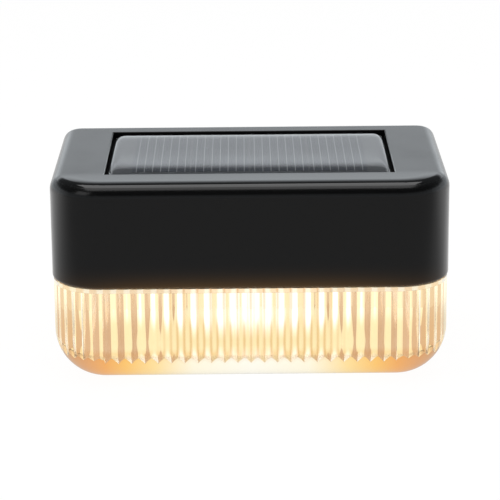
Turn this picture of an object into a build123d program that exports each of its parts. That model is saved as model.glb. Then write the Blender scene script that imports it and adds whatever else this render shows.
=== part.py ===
"""Solar fence light: a black housing with a recessed solar panel over a fluted clear lens.

Millimetres, +Z up. The origin is the middle of the flat back, the front faces -Y.
"""

import math
import os

from build123d import *

# Outer body
width = 120.0
depth = 80.0
height = 62.7
housing_height = 31.6
front_corner_r = 16.0
rear_corner_r = 6.0
top_edge_r = 4.0
housing_lip_r = 1.2
bottom_round_r = 15.0
shell_wall = 2.3
back_plate_t = 2.4
rear_flange_t = 2.0
rear_flange_w = 4.2

# Recess in the top and the solar panel in it
recess_width = 87.1
recess_depth = 55.2
recess_from_back = 9.5
recess_sink = 2.3
recess_floor_t = 2.0
recess_edge_r = 0.35
panel_gap = 1.5
panel_corner_r = 5.0
adhesive_t = 0.3
adhesive_inset = 0.5
adhesive_w = 6.0
solar_board_t = 0.8
cell_count = 4
cell_pitch = 17.9
cell_width = 17.3
cell_length = 46.0
cell_t = 0.2
cover_edge_t = 0.6
cover_rise_across = 0.6
cover_rise_along = 0.4
cover_edge_r = 0.5
cover_spare = 2.0

# Fluted lens
lens_inset = 0.35
rib_pitch = 4.0
rib_depth = 0.4
rib_step_deg = 15.0
rib_turn_deg = 16.0
rib_turn_steps = 4
rib_runout = 6.0
rib_margin = 0.05
prism_depth = 1.1
prism_back_gap = 4.0
lens_rim_t = 1.0

# Light tray between housing and lens
tray_t = 1.5
tray_clearance = 0.15
tray_rim_t = 1.2
tray_rim_h = 2.8
tray_rim_back_gap = 4.0
skirt_t = 1.2
skirt_clearance = 0.4
lead_slot_width = 12.0
lead_slot_depth = 4.0

# LED board under the tray
led_count = 4
led_pitch = 11.0
led_size = 3.5
led_depth = 2.8
led_t = 0.8
led_board_width = 56.0
led_board_depth = 8.0
led_board_t = 1.0
led_board_y = -34.0
led_board_corner_r = 1.0
led_corner_cut = 0.5
led_screw_span = 50.0
led_screw_r = 1.0
led_head_r = 1.8
led_head_t = 0.9

# Back plate, keyholes and screws
keyhole_span = 76.0
keyhole_z = 6.0
keyhole_entry_r = 4.5
keyhole_slot_r = 2.1
keyhole_travel = 7.0
keyhole_pocket_depth = 6.0
pocket_wall = 1.4
gasket_inset = 2.0
gasket_w = 1.2
gasket_t = 1.0
screw_r = 1.25
screw_clearance = 0.2
pilot_clearance = 0.05
head_r = 2.6
head_t = 1.3
slot_w = 0.6
screw_length = 9.0
screw_tip_gap = 1.0
boss_r = 3.4
boss_end_t = 2.0
boss_rib_t = 2.0
back_screw_inset_x = 8.0
back_screw_inset_z = 8.0
back_screw_low_z = 5.5
lens_screw_x = 40.0
lens_screw_inset_z = 8.0
lens_post_l = 5.2
lens_post_end_t = 1.0
lens_screw_tip_gap = 0.2
tray_screw_x = 46.0
tray_screw_y_front = -66.0
tray_screw_y_rear = -24.0

# Push button in the back plate
button_z = 15.0
well_r = 9.0
well_depth = 5.0
well_wall = 1.8
well_floor_t = 2.6
cap_r = 6.0
cap_sunk = 1.0
cap_t = 2.3
cap_dome = 0.5
stem_r = 3.0
stem_clearance = 0.08
flange_r = 3.8
flange_t = 0.8
flange_gap = 0.25
button_travel = 1.5
seal_minor_r = 0.7
switch_size = 8.5
switch_t = 5.0
switch_corner_cut = 0.5
plunger_r = 1.6
plunger_reach = 2.2
plunger_held = 0.4
plunger_room = 0.6

# Control board behind the switch
board_width = 52.0
board_height = 20.0
board_t = 1.2
board_z = 14.0
board_boss_x = 22.0
board_boss_z = 6.0
board_corner_r = 1.0
board_screw_length = 6.0
board_head_r = 2.34

# Parts on the control board, each with its place across and up
chip_x = -8.0
chip_z = 18.0
chip_width = 5.0
chip_height = 4.0
chip_t = 1.5
chip_pins = 4
pin_pitch = 1.27
pin_w = 0.4
pin_span = 6.0
inductor_x = 6.0
inductor_z = 17.0
drum_r = 2.4
drum_h = 4.0
drum_flange_t = 0.8
drum_waist_r = 1.5
coil_r = 2.2
capacitor_x = 16.0
capacitor_z = 17.0
capacitor_r = 2.5
capacitor_h = 5.5
capacitor_edge_r = 0.4
diode_x = -17.0
diode_z = 15.0
diode_width = 2.6
diode_height = 4.5
diode_t = 2.0
diode_bevel = 0.3

# Battery on the tray
cell_can_r = 7.1
cell_can_l = 48.5
cell_nub_r = 2.7
cell_nub_l = 1.2
cell_can_edge_r = 0.8
battery_y = -50.0
holder_floor_t = 1.5
holder_wall_t = 1.6
holder_clearance = 0.4
holder_end_t = 2.0
holder_over_middle = 1.0
contact_t = 0.4
contact_w = 9.0
contact_half_h = 4.0
tab_w = 4.0
tab_h = 5.0
spring_wire_r = 0.4
spring_r = 3.2
spring_turns = 3
spring_rest_l = 4.0
peg_r = 1.5
peg_clearance = 0.1
peg_span = 40.0

# Leads: places and heights are measured from the control board's middle
lead_r = 0.6
lead_bend_r = 3.0
lead_hole_x = -18.0
lead_hole_y = -24.0
lead_hole_r = 2.8
panel_lead_rise = 4.0
low_lead_drop = 7.0
battery_lead_x = 14.0
battery_lead_run = 16.0
battery_lead_end_l = 8.0
tab_lead_rise = 3.0
led_lead_x = 3.0

# Levels and planes that the sizes above give
top_z = height / 2
bottom_z = -height / 2
parting_z = top_z - housing_height
floor_z = top_z - recess_sink
ceiling_z = floor_z - recess_floor_t
plate_y = -back_plate_t
flange_y = plate_y - rear_flange_t
tray_low_z = parting_z - tray_t
skirt_y = plate_y - lens_post_l - tray_clearance - skirt_t
recess_y = -recess_from_back - recess_depth / 2
panel_width = recess_width - 2 * panel_gap
panel_depth = recess_depth - 2 * panel_gap
board_low_z = floor_z + adhesive_t
board_top_z = board_low_z + solar_board_t
well_floor_y = -well_depth
cap_back_y = -cap_sunk
cap_front_y = cap_back_y - cap_t
flange_back_y = well_floor_y - well_floor_t - flange_gap
flange_front_y = flange_back_y - flange_t
switch_back_y = flange_front_y - plunger_reach
board_back_y = switch_back_y - switch_t
board_front_y = board_back_y - board_t
can_z = parting_z + holder_floor_t + cell_can_r + holder_clearance
holder_right = cell_can_l / 2 + cell_nub_l + contact_t
holder_left = cell_can_l / 2 + spring_rest_l + contact_t
panel_lead_z = board_z + panel_lead_rise
low_lead_z = board_z - low_lead_drop


def plan_outline(inset):
    """Outline of the body seen from above, drawn in by the inset."""
    sheet = Pos(0, -depth / 2) * Rectangle(width - 2 * inset, depth - 2 * inset)
    sheet = fillet(sheet.vertices().group_by(Axis.Y)[0], front_corner_r - inset)
    return fillet(sheet.vertices().group_by(Axis.Y)[-1], rear_corner_r - inset)


def rounded_trough(inset, low_z, round_r):
    """Body with a rounded bottom edge along front and sides, running out past the back."""
    length = 2 * depth
    sheet = Pos(0, inset - depth + length / 2) * Rectangle(width - 2 * inset, length)
    sheet = fillet(sheet.vertices().group_by(Axis.Y)[0], front_corner_r - inset)
    body = Pos(0, 0, low_z) * extrude(sheet, height)
    edges = body.edges().group_by(Axis.Z)[0].sort_by(Axis.Y)[:-1]
    return fillet(edges, min(round_r, front_corner_r - inset - 0.3))


def envelope(inset, floor_inset, round_r):
    """The whole body's form, drawn in by the inset."""
    low_z = bottom_z + floor_inset
    body = Pos(0, 0, low_z) * extrude(plan_outline(inset), top_z - inset - low_z)
    body = fillet(body.edges().group_by(Axis.Z)[-1], top_edge_r - min(inset, 0.6 * top_edge_r))
    return body & rounded_trough(inset, low_z, round_r)


def block(x_low, x_high, y_low, y_high, z_low, z_high):
    """Box between two corners."""
    middle = ((x_low + x_high) / 2, (y_low + y_high) / 2, (z_low + z_high) / 2)
    return Pos(*middle) * Box(x_high - x_low, y_high - y_low, z_high - z_low)


def slab(y_low, y_high, z_low=2 * bottom_z, z_high=2 * top_z):
    """Everything between two planes across the body."""
    return block(-width, width, y_low, y_high, z_low, z_high)


def rod_y(x, z, radius, y_from, y_to):
    """Round bar along Y."""
    middle = Pos(x, (y_from + y_to) / 2, z) * Rot(90, 0, 0)
    return middle * Cylinder(radius, abs(y_to - y_from))


def rod_z(x, y, radius, z_from, z_to):
    """Round bar along Z."""
    return Pos(x, y, (z_from + z_to) / 2) * Cylinder(radius, abs(z_to - z_from))


def rod_x(y, z, radius, x_from, x_to):
    """Round bar along X."""
    return Pos((x_from + x_to) / 2, y, z) * Rot(0, 90, 0) * Cylinder(radius, abs(x_to - x_from))


def rear_outline(inset, y_low, y_high):
    """Prism along Y with the outline of the body seen from behind, drawn in by the inset."""
    tall = height - 2 * inset
    sheet = Rectangle(width - 2 * inset, tall)
    low_r = max(bottom_round_r - inset, 1.0)
    high_r = max(top_edge_r - inset, 1.0)
    sheet = fillet(sheet.vertices().group_by(Axis.Y)[0], low_r)
    sheet = fillet(sheet.vertices().group_by(Axis.Y)[-1], high_r)
    return extrude(Plane((0, y_high, 0), x_dir=(1, 0, 0), z_dir=(0, -1, 0)) * sheet, y_high - y_low)


def screw_places():
    """Centres of the four back plate screws that go into the housing."""
    x = width / 2 - back_screw_inset_x
    return [(s * x, z) for s in (-1, 1) for z in (top_z - back_screw_inset_z, back_screw_low_z)]


def lens_screw_places():
    """Centres of the two back plate screws that go into the lens."""
    return [(s * lens_screw_x, bottom_z + lens_screw_inset_z) for s in (-1, 1)]


def tray_screw_places():
    """Centres of the four screws that hold the tray to the housing."""
    return [(s * tray_screw_x, y) for s in (-1, 1) for y in (tray_screw_y_front, tray_screw_y_rear)]


def shell_hollow():
    """Space inside the two shells, with its narrower opening at the back."""
    inside = envelope(shell_wall, shell_wall, bottom_round_r - shell_wall)
    return inside & slab(-depth, flange_y)


def shell_opening():
    """Opening through the rear flange, and the groove for the gasket in the flange's face."""
    return rear_outline(rear_flange_w, flange_y, plate_y) + gasket()


def gasket():
    """Flat rubber ring in the rear flange, against the back plate."""
    ring = rear_outline(gasket_inset, plate_y - gasket_t, plate_y)
    return ring - rear_outline(gasket_inset + gasket_w, plate_y - gasket_t, plate_y)


def top_housing():
    """Black shell, open below and behind, with the recess for the panel."""
    body = envelope(0, 0, bottom_round_r) & slab(-depth, plate_y, parting_z, 2 * top_z)
    lip = body.edges().group_by(Axis.Z)[0].filter_by(lambda e: e.center().Y < plate_y - 1)
    body = fillet(lip, housing_lip_r)
    under_recess = recess_block(shell_wall, ceiling_z, top_z)
    body -= shell_hollow() - under_recess
    body -= shell_opening()
    body -= recess_block(0, floor_z, 2 * top_z)
    near_x, near_y = recess_width / 2 + recess_edge_r, recess_depth / 2 + recess_edge_r
    rim = body.edges().group_by(Axis.Z)[-1].filter_by(lambda e: abs(e.center().X) < near_x)
    rim = rim.filter_by(lambda e: abs(e.center().Y - recess_y) < near_y)
    body = fillet(rim, recess_edge_r)
    body -= rod_z(lead_hole_x, lead_hole_y, lead_hole_r, ceiling_z - 1, floor_z + 1)
    inside = shell_hollow() + rear_outline(rear_flange_w, flange_y, plate_y)
    inside &= slab(-depth, plate_y, parting_z, 2 * top_z)
    inside -= under_recess
    for x, z in screw_places():
        side = math.copysign(1, x)
        post_front = plate_y - screw_length - boss_end_t
        post = rod_y(x, z, boss_r, post_front, plate_y)
        if z > button_z:
            post += block(x - boss_rib_t / 2, x + boss_rib_t / 2, post_front, plate_y, z, top_z)
        else:
            out = sorted((x, side * width / 2))
            post += block(*out, post_front, plate_y, z - boss_rib_t / 2, z + boss_rib_t / 2)
        body += post & inside
    for x, y in tray_screw_places():
        body += rod_z(x, y, boss_r, parting_z, top_z) & inside
    for x, z in screw_places():
        body -= rod_y(x, z, screw_r + pilot_clearance, plate_y - screw_length, plate_y)
    for x, y in tray_screw_places():
        body -= rod_z(x, y, screw_r + pilot_clearance, parting_z, parting_z + screw_length)
    return body


def recess_block(grow, z_low, z_high):
    """Block with the recess's plan, grown all round."""
    half_x = recess_width / 2 + grow
    half_y = recess_depth / 2 + grow
    return block(-half_x, half_x, recess_y - half_y, recess_y + half_y, z_low, z_high)


def rib_stations():
    """Grooves of the fluted wall as anchor points and facing angles, from rear left to rear right."""
    centre_x = width / 2 - front_corner_r
    centre_y = front_corner_r - depth
    front_count = 2 * round(centre_x / rib_pitch)
    front_pitch = 2 * centre_x / front_count
    side_count = int((-rear_corner_r - centre_y) / front_pitch)
    corner_count = round(90 / rib_step_deg)
    stations = [((-centre_x, centre_y + k * front_pitch), 180.0) for k in range(side_count, 0, -1)]
    stations += [((-centre_x, centre_y), 180 + 90 * k / corner_count) for k in range(corner_count)]
    stations += [((-centre_x + k * front_pitch, centre_y), 270.0) for k in range(front_count)]
    stations += [((centre_x, centre_y), 270 + 90 * k / corner_count) for k in range(corner_count)]
    stations += [((centre_x, centre_y + k * front_pitch), 360.0) for k in range(side_count + 1)]
    return stations, front_pitch


def rib_section(drawn_in, z):
    """Outline of the fluted wall at one level, drawn in from the upright wall."""
    stations, pitch = rib_stations()
    reach = front_corner_r - lens_inset - drawn_in

    def place(anchor, angle, radius):
        turn = math.radians(angle)
        return (anchor[0] + radius * math.cos(turn), anchor[1] + radius * math.sin(turn))

    def middle(a, b):
        return ((a[0][0] + b[0][0]) / 2, (a[0][1] + b[0][1]) / 2), (a[1] + b[1]) / 2

    edges = []
    for a, b in zip(stations, stations[1:]):
        crest = place(*middle(a, b), reach)
        edges.append(ThreePointArc(place(*a, reach - rib_depth), crest, place(*b, reach - rib_depth)))
    ends = []
    for anchor, angle in (stations[-1], stations[0]):
        groove = place(anchor, angle, reach - rib_depth)
        last_crest = place((anchor[0], anchor[1] + pitch / 2), angle, reach)
        past_back = (last_crest[0], depth / 4)
        ends.append((groove, last_crest, past_back))
    right, left = ends
    edges += [Line(right[0], right[1]), Line(right[1], right[2]), Line(right[2], left[2])]
    edges += [Line(left[2], left[1]), Line(left[1], left[0])]
    return Pos(0, 0, z) * make_face(edges)


def fluted_form():
    """Ribs down the wall and a little way round the bottom edge, as one ruled loft."""
    round_z = bottom_z + bottom_round_r
    sections = [rib_section(0, parting_z + 1), rib_section(0, round_z)]
    for k in range(1, rib_turn_steps + 1):
        turn = math.radians(rib_turn_deg * k / rib_turn_steps)
        drawn_in = bottom_round_r * (1 - math.cos(turn))
        sections.append(rib_section(drawn_in, round_z - bottom_round_r * math.sin(turn)))
    turn = math.radians(rib_turn_deg)
    drawn_in = bottom_round_r * (1 - math.cos(turn)) + rib_runout * math.sin(turn)
    end_z = round_z - bottom_round_r * math.sin(turn) - rib_runout * math.cos(turn)
    sections.append(rib_section(drawn_in, end_z))
    return loft(sections, ruled=True) + block(-width, width, -depth, depth / 4, 2 * bottom_z, end_z)


def prism_room():
    """Room inside the wall's prisms: one ridge points inwards behind each groove of the ribs."""
    stations, pitch = rib_stations()
    crest_reach = front_corner_r - shell_wall
    corners = []

    def add(anchor, angle, reach):
        turn = math.radians(angle)
        corners.append((anchor[0] + reach * math.cos(turn), anchor[1] + reach * math.sin(turn)))

    last_y = flange_y - prism_back_gap
    kept = [(anchor, angle) for anchor, angle in stations if anchor[1] + pitch / 2 <= last_y]
    for a, b in zip(kept, kept[1:]):
        add(*a, crest_reach - prism_depth)
        add(((a[0][0] + b[0][0]) / 2, (a[0][1] + b[0][1]) / 2), (a[1] + b[1]) / 2, crest_reach)
    add(*kept[-1], crest_reach - prism_depth)
    for anchor, angle in (kept[-1], kept[0]):
        ends = [(anchor[0], anchor[1] + pitch / 2), (anchor[0], depth / 4)]
        for end in ends if angle > 270 else reversed(ends):
            add(end, angle, crest_reach + rib_margin)
    sheet = make_face(Polyline(*corners, close=True).edges())
    return Pos(0, 0, 2 * bottom_z) * extrude(sheet, tray_low_z - 2 * bottom_z)


def lens():
    """Clear bowl, open above and behind: ribs outside and prisms inside run out on its rounded edge."""
    inset = lens_inset - rib_margin
    body = envelope(inset, 0, bottom_round_r) & slab(-depth, plate_y, 2 * bottom_z, parting_z)
    body &= fluted_form()
    body -= shell_hollow() & (prism_room() + slab(-depth, 0, tray_low_z, top_z))
    body -= shell_opening()
    ledge = envelope(lens_inset + lens_rim_t, 0, bottom_round_r)
    body -= ledge & slab(-depth, flange_y, tray_low_z, parting_z)
    inside = shell_hollow() + rear_outline(rear_flange_w, flange_y, plate_y)
    post_front = plate_y - lens_post_l
    for x, z in lens_screw_places():
        post = rod_y(x, z, boss_r, post_front, plate_y)
        post += block(x - boss_rib_t / 2, x + boss_rib_t / 2, post_front, plate_y, bottom_z, z)
        body += post & inside
    for x, z in lens_screw_places():
        body -= rod_y(x, z, screw_r + pilot_clearance, post_front + lens_post_end_t, plate_y)
    return body


def keyhole(x, y_low, y_high):
    """Keyhole form: a round entry with a narrower slot above it."""
    top = keyhole_z + keyhole_travel
    entry = rod_y(x, keyhole_z, keyhole_entry_r, y_low, y_high)
    slot = block(x - keyhole_slot_r, x + keyhole_slot_r, y_low, y_high, keyhole_z, top)
    return entry + slot + rod_y(x, top, keyhole_slot_r, y_low, y_high)


def keyhole_pocket(x, grow, y_front):
    """Closed pocket behind a keyhole, in which the screw head slides up."""
    radius = keyhole_entry_r + grow
    low = rod_y(x, keyhole_z, radius, y_front, plate_y)
    high = rod_y(x, keyhole_z + keyhole_travel, radius, y_front, plate_y)
    middle = block(x - radius, x + radius, y_front, plate_y, keyhole_z, keyhole_z + keyhole_travel)
    return low + high + middle


def back_plate():
    """Flat back with keyholes, button well, screw holes and bosses for the control board."""
    body = envelope(0, 0, bottom_round_r) & slab(plate_y, 0)
    pocket_y = -keyhole_pocket_depth
    for side in (-1, 1):
        x = side * keyhole_span / 2
        body += keyhole_pocket(x, pocket_wall, pocket_y - pocket_wall)
    well_front = well_floor_y - well_floor_t
    body += rod_y(0, button_z, well_r + well_wall, well_front, plate_y)
    for side in (-1, 1):
        body += rod_y(side * board_boss_x, board_boss_z, boss_r, board_back_y, plate_y)
    pilot_r = screw_r + pilot_clearance
    for side in (-1, 1):
        x = side * keyhole_span / 2
        body -= keyhole_pocket(x, 0, pocket_y)
        body -= keyhole(x, plate_y, 0)
        pilot_y = board_back_y + board_screw_length
        body -= rod_y(side * board_boss_x, board_boss_z, pilot_r, board_back_y, pilot_y)
    body -= rod_y(0, button_z, well_r, well_floor_y, 0)
    body -= rod_y(0, button_z, stem_r + stem_clearance, well_front, well_floor_y)
    body -= rod_y(0, button_z, seal_seat_r(), well_floor_y - 2 * seal_minor_r, well_floor_y)
    for x, z in screw_places() + lens_screw_places():
        body -= rod_y(x, z, screw_r + screw_clearance, plate_y, 0)
        body -= rod_y(x, z, head_r + screw_clearance, -head_t - screw_clearance, 0)
    return body


def seal_seat_r():
    """Radius of the counterbore that holds the button's seal ring."""
    return stem_r + stem_clearance + 2 * seal_minor_r


def button_cap():
    """Push button: domed cap, stem through the well floor and the flange that keeps it in."""
    body = rod_y(0, button_z, cap_r, cap_front_y, cap_back_y - cap_dome)
    dome_r = (cap_r**2 + cap_dome**2) / (2 * cap_dome)
    dome = Pos(0, cap_back_y - dome_r, button_z) * Sphere(dome_r)
    body += dome & rod_y(0, button_z, cap_r, cap_back_y - cap_dome, cap_back_y)
    body += rod_y(0, button_z, stem_r, flange_back_y, cap_front_y)
    body += rod_y(0, button_z, flange_r, flange_front_y, flange_back_y)
    return body


def button_seal():
    """Rubber ring round the stem."""
    ring = Torus(stem_r + stem_clearance + seal_minor_r, seal_minor_r)
    return Pos(0, well_floor_y - seal_minor_r, button_z) * Rot(90, 0, 0) * ring


def switch_body():
    """Push switch on the control board."""
    half = switch_size / 2
    body = block(-half, half, board_back_y, switch_back_y, button_z - half, button_z + half)
    body = chamfer(body.edges().filter_by(Axis.Y), switch_corner_cut)
    bore_front = switch_back_y - button_travel - plunger_room
    return body - rod_y(0, button_z, plunger_r + stem_clearance, bore_front, switch_back_y)


def switch_plunger():
    """Plunger of the switch, in one line with the button's stem."""
    return rod_y(0, button_z, plunger_r, switch_back_y - plunger_held, flange_front_y)


def control_board():
    """Upright circuit board on the back plate's two bosses."""
    half_x, half_z = board_width / 2, board_height / 2
    body = block(-half_x, half_x, board_front_y, board_back_y, board_z - half_z, board_z + half_z)
    body = fillet(body.edges().filter_by(Axis.Y), board_corner_r)
    hole_r = screw_r + screw_clearance
    for side in (-1, 1):
        body -= rod_y(side * board_boss_x, board_boss_z, hole_r, board_front_y, board_back_y)
    return body


def on_board(x, z, size_x, size_z, tall):
    """Box that stands on the front side of the control board."""
    return Pos(x, board_front_y - tall / 2, z) * Box(size_x, tall, size_z)


def control_chip():
    """Eight-pin driver chip with its legs."""
    body = on_board(chip_x, chip_z, chip_width, chip_height, chip_t)
    for k in range(chip_pins):
        x = chip_x + (k - (chip_pins - 1) / 2) * pin_pitch
        body += on_board(x, chip_z, pin_w, pin_span, pin_w)
    return body


def winding_room(radius):
    """Bar along the inductor's axis, between the flanges of its drum."""
    y_from = board_front_y - drum_h + drum_flange_t
    return rod_y(inductor_x, inductor_z, radius, y_from, board_front_y - drum_flange_t)


def inductor():
    """Drum inductor of the step-up circuit."""
    drum = rod_y(inductor_x, inductor_z, drum_r, board_front_y - drum_h, board_front_y)
    return drum - (winding_room(drum_r) - winding_room(drum_waist_r))


def inductor_coil():
    """Copper winding on the inductor's core."""
    return winding_room(coil_r) - winding_room(drum_waist_r)


def capacitor():
    """Electrolytic capacitor standing off the board."""
    can = rod_y(capacitor_x, capacitor_z, capacitor_r, board_front_y - capacitor_h, board_front_y)
    return fillet(can.edges().filter_by(GeomType.CIRCLE).sort_by(Axis.Y)[0], capacitor_edge_r)


def diode():
    """Flat diode package."""
    package = on_board(diode_x, diode_z, diode_width, diode_height, diode_t)
    return chamfer(package.edges().filter_by(Axis.Y), diode_bevel)


def pan_screw(radius, length, round_head_r, round_head_t):
    """Screw along -Z with its head above the origin plane and a cross slot in the head."""
    body = Pos(0, 0, -length / 2) * Cylinder(radius, length)
    head = Pos(0, 0, round_head_t / 2) * Cylinder(round_head_r, round_head_t)
    head = fillet(head.edges().group_by(Axis.Z)[-1], 0.35 * round_head_t)
    for turn in (0, 90):
        head -= Pos(0, 0, round_head_t) * Rot(0, 0, turn) * Box(1.2 * round_head_r, slot_w, round_head_t)
    return body + head


def back_screws():
    """Six screws that hold the back plate, heads sunk below its face."""
    pieces = []
    seat = head_t + screw_clearance
    short = back_plate_t - seat + lens_post_l - lens_post_end_t - lens_screw_tip_gap
    long = back_plate_t - seat + screw_length - screw_tip_gap
    for places, length in ((screw_places(), long), (lens_screw_places(), short)):
        for x, z in places:
            pieces.append(Pos(x, -seat, z) * Rot(-90, 0, 0) * pan_screw(screw_r, length, head_r, head_t))
    return Compound(children=pieces)


def board_screws():
    """Two screws that hold the control board."""
    pieces = []
    for side in (-1, 1):
        screw = pan_screw(screw_r, board_screw_length + board_t - screw_tip_gap, board_head_r, head_t)
        pieces.append(Pos(side * board_boss_x, board_front_y, board_boss_z) * Rot(90, 0, 0) * screw)
    return Compound(children=pieces)


def tray_screws():
    """Four screws up through the tray into the housing."""
    pieces = []
    for x, y in tray_screw_places():
        screw = pan_screw(screw_r, tray_t + screw_length - screw_tip_gap, head_r, head_t)
        pieces.append(Pos(x, y, tray_low_z) * Rot(180, 0, 0) * screw)
    return Compound(children=pieces)


def led_screws():
    """Two short screws that hold the LED board to the tray."""
    pieces = []
    for side in (-1, 1):
        screw = pan_screw(led_screw_r, led_board_t + tray_t, led_head_r, led_head_t)
        place = Pos(side * led_screw_span / 2, led_board_y, tray_low_z - led_board_t)
        pieces.append(place * Rot(180, 0, 0) * screw)
    return Compound(children=pieces)


def light_tray():
    """White moulding: flange between the shells, rim inside the housing and a skirt down the back."""
    inset = lens_inset + lens_rim_t + tray_clearance
    flange = envelope(inset, 0, bottom_round_r)
    rear_y = flange_y - tray_clearance
    body = flange & slab(-depth, rear_y, tray_low_z, parting_z)
    rim_inset = shell_wall + tray_clearance
    rim = envelope(rim_inset, 0, bottom_round_r) - envelope(rim_inset + tray_rim_t, 0, bottom_round_r)
    body += rim & slab(-depth, rear_y - tray_rim_back_gap, parting_z, parting_z + tray_rim_h)
    skirt = envelope(shell_wall + skirt_clearance, shell_wall + skirt_clearance, bottom_round_r - shell_wall)
    body += skirt & slab(skirt_y, skirt_y + skirt_t, 2 * bottom_z, tray_low_z)
    for x, y in tray_screw_places():
        body -= rod_z(x, y, screw_r + screw_clearance, tray_low_z, parting_z)
    pilot_r = led_screw_r + pilot_clearance
    for side in (-1, 1):
        body -= rod_z(side * led_screw_span / 2, led_board_y, pilot_r, tray_low_z, parting_z)
        body -= rod_z(side * peg_span / 2, battery_y, peg_r + peg_clearance, tray_low_z, parting_z)
    half_x, half_y = lead_slot_width / 2, lead_slot_depth / 2
    body -= block(-half_x, half_x, led_board_y - half_y, led_board_y + half_y, tray_low_z, parting_z)
    return body


def led_board():
    """White circuit board under the tray."""
    low = tray_low_z - led_board_t
    half_x, half_y = led_board_width / 2, led_board_depth / 2
    body = block(-half_x, half_x, led_board_y - half_y, led_board_y + half_y, low, tray_low_z)
    body = fillet(body.edges().filter_by(Axis.Z), led_board_corner_r)
    for side in (-1, 1):
        body -= rod_z(side * led_screw_span / 2, led_board_y, led_screw_r + pilot_clearance, low, tray_low_z)
    return body


def leds():
    """Row of LED packages on the LED board's underside."""
    middle_z = tray_low_z - led_board_t - led_t / 2
    pieces = []
    for k in range(led_count):
        x = (k - (led_count - 1) / 2) * led_pitch
        package = Pos(x, led_board_y, middle_z) * Box(led_size, led_depth, led_t)
        pieces.append(chamfer(package.edges().filter_by(Axis.Z).sort_by(Axis.X)[0], led_corner_cut))
    return Compound(children=pieces)


def battery_cell():
    """AA size cell lying along X, with its nub to the right."""
    can = rod_x(battery_y, can_z, cell_can_r, -cell_can_l / 2, cell_can_l / 2)
    can = fillet(can.edges().filter_by(GeomType.CIRCLE), cell_can_edge_r)
    return can + rod_x(battery_y, can_z, cell_nub_r, cell_can_l / 2, cell_can_l / 2 + cell_nub_l)


def battery_holder():
    """Open cradle with end walls, standing on the tray with two pegs."""
    room_r = cell_can_r + holder_clearance
    half = room_r + holder_wall_t
    x_low, x_high = -holder_left - holder_end_t, holder_right + holder_end_t
    body = block(x_low, x_high, battery_y - half, battery_y + half, parting_z, can_z + holder_over_middle)
    body -= rod_x(battery_y, can_z, room_r, -holder_left, holder_right)
    body -= block(-holder_left, holder_right, battery_y - room_r, battery_y + room_r, can_z, top_z)
    for side in (-1, 1):
        body += rod_z(side * peg_span / 2, battery_y, peg_r, tray_low_z, parting_z)
    return body


def contact_plate(x_low, x_high):
    """Upright contact sheet with a solder tab above the holder's end wall."""
    half_w, half_h = contact_w / 2, contact_half_h
    sheet = block(x_low, x_high, battery_y - half_w, battery_y + half_w, can_z - half_h, can_z + half_h)
    top = can_z + half_h
    return sheet + block(x_low, x_high, battery_y - tab_w / 2, battery_y + tab_w / 2, top, top + tab_h)


def battery_contact():
    """Positive contact against the cell's nub."""
    return contact_plate(holder_right - contact_t, holder_right)


def battery_spring():
    """Negative contact: sheet with a coil spring against the can."""
    sheet = contact_plate(-holder_left, -holder_left + contact_t)
    start = -holder_left + contact_t + spring_wire_r * 0.5
    length = spring_rest_l - 1.5 * spring_wire_r
    coil = Helix(length / spring_turns, length, spring_r, cone_angle=0)
    wire = sweep(Plane(origin=coil @ 0, z_dir=coil % 0) * Circle(spring_wire_r), coil, is_frenet=True)
    wire = Pos(start, battery_y, can_z) * Rot(0, 90, 0) * wire
    return sheet + wire


def solar_adhesive():
    """Foam frame between the recess floor and the solar board."""
    return panel_sheet(floor_z, adhesive_t, adhesive_inset) - panel_sheet(floor_z, adhesive_t, adhesive_w)


def panel_sheet(z, thickness, inset=0):
    """Rounded sheet with the panel's outline, drawn in by the inset."""
    corner_r = max(panel_corner_r - inset, panel_corner_r / 2)
    outline = RectangleRounded(panel_width - 2 * inset, panel_depth - 2 * inset, corner_r)
    return extrude(Pos(0, recess_y, z) * outline, thickness)


def solar_board():
    """Board that carries the cells."""
    return panel_sheet(board_low_z, solar_board_t)


def cell_boxes():
    """The cells side by side."""
    pieces = []
    for k in range(cell_count):
        x = (k - (cell_count - 1) / 2) * cell_pitch
        pieces.append(Pos(x, recess_y, board_top_z + cell_t / 2) * Box(cell_width, cell_length, cell_t))
    return pieces


def solar_cells():
    """Four cell strips on the board."""
    return Compound(children=cell_boxes())


def solar_cover():
    """Clear cast cover, crowned both ways, with its edge rolled over."""
    rise_r = (panel_depth**2 / 4 + cover_rise_across**2) / (2 * cover_rise_across)
    turn_r = (panel_width**2 / 4 + cover_rise_along**2) / (2 * cover_rise_along)
    crown_z = board_top_z + cover_edge_t + cover_rise_across + cover_rise_along
    half = panel_depth / 2 + cover_spare
    edge_drop = rise_r - math.sqrt(rise_r**2 - half**2)
    ends = [(recess_y - half, crown_z - edge_drop), (recess_y + half, crown_z - edge_drop)]
    low = board_top_z - cover_spare
    arc = ThreePointArc((0, *ends[0]), (0, recess_y, crown_z), (0, *ends[1]))
    sides = Polyline((0, *ends[1]), (0, ends[1][0], low), (0, ends[0][0], low), (0, *ends[0]))
    profile = make_face([arc, *sides.edges()])
    axis = Axis((0, 0, crown_z - turn_r), (0, 1, 0))
    half_turn = math.degrees(math.asin((panel_width / 2 + cover_spare) / turn_r))
    crown = revolve(profile, axis, 2 * half_turn)
    crown = Pos(0, 0, crown_z - turn_r) * Rot(0, -half_turn, 0) * Pos(0, 0, turn_r - crown_z) * crown
    body = panel_sheet(board_top_z, 2 * (crown_z - board_top_z)) & crown
    top_edges = body.edges().filter_by(lambda e: e.center().Z > board_top_z + 0.3 * cover_edge_t)
    top_edges = top_edges.filter_by(lambda e: abs(e.tangent_at(0.5).Z) < 0.5)
    body = fillet(top_edges, cover_edge_r)
    for cell in cell_boxes():
        body -= cell
    return body


def lead(points, radius=lead_bend_r):
    """Insulated wire along a run of points."""
    path = FilletPolyline(*points, radius=radius)
    return sweep(Plane(origin=path @ 0, z_dir=path % 0) * Circle(lead_r), path)


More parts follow.
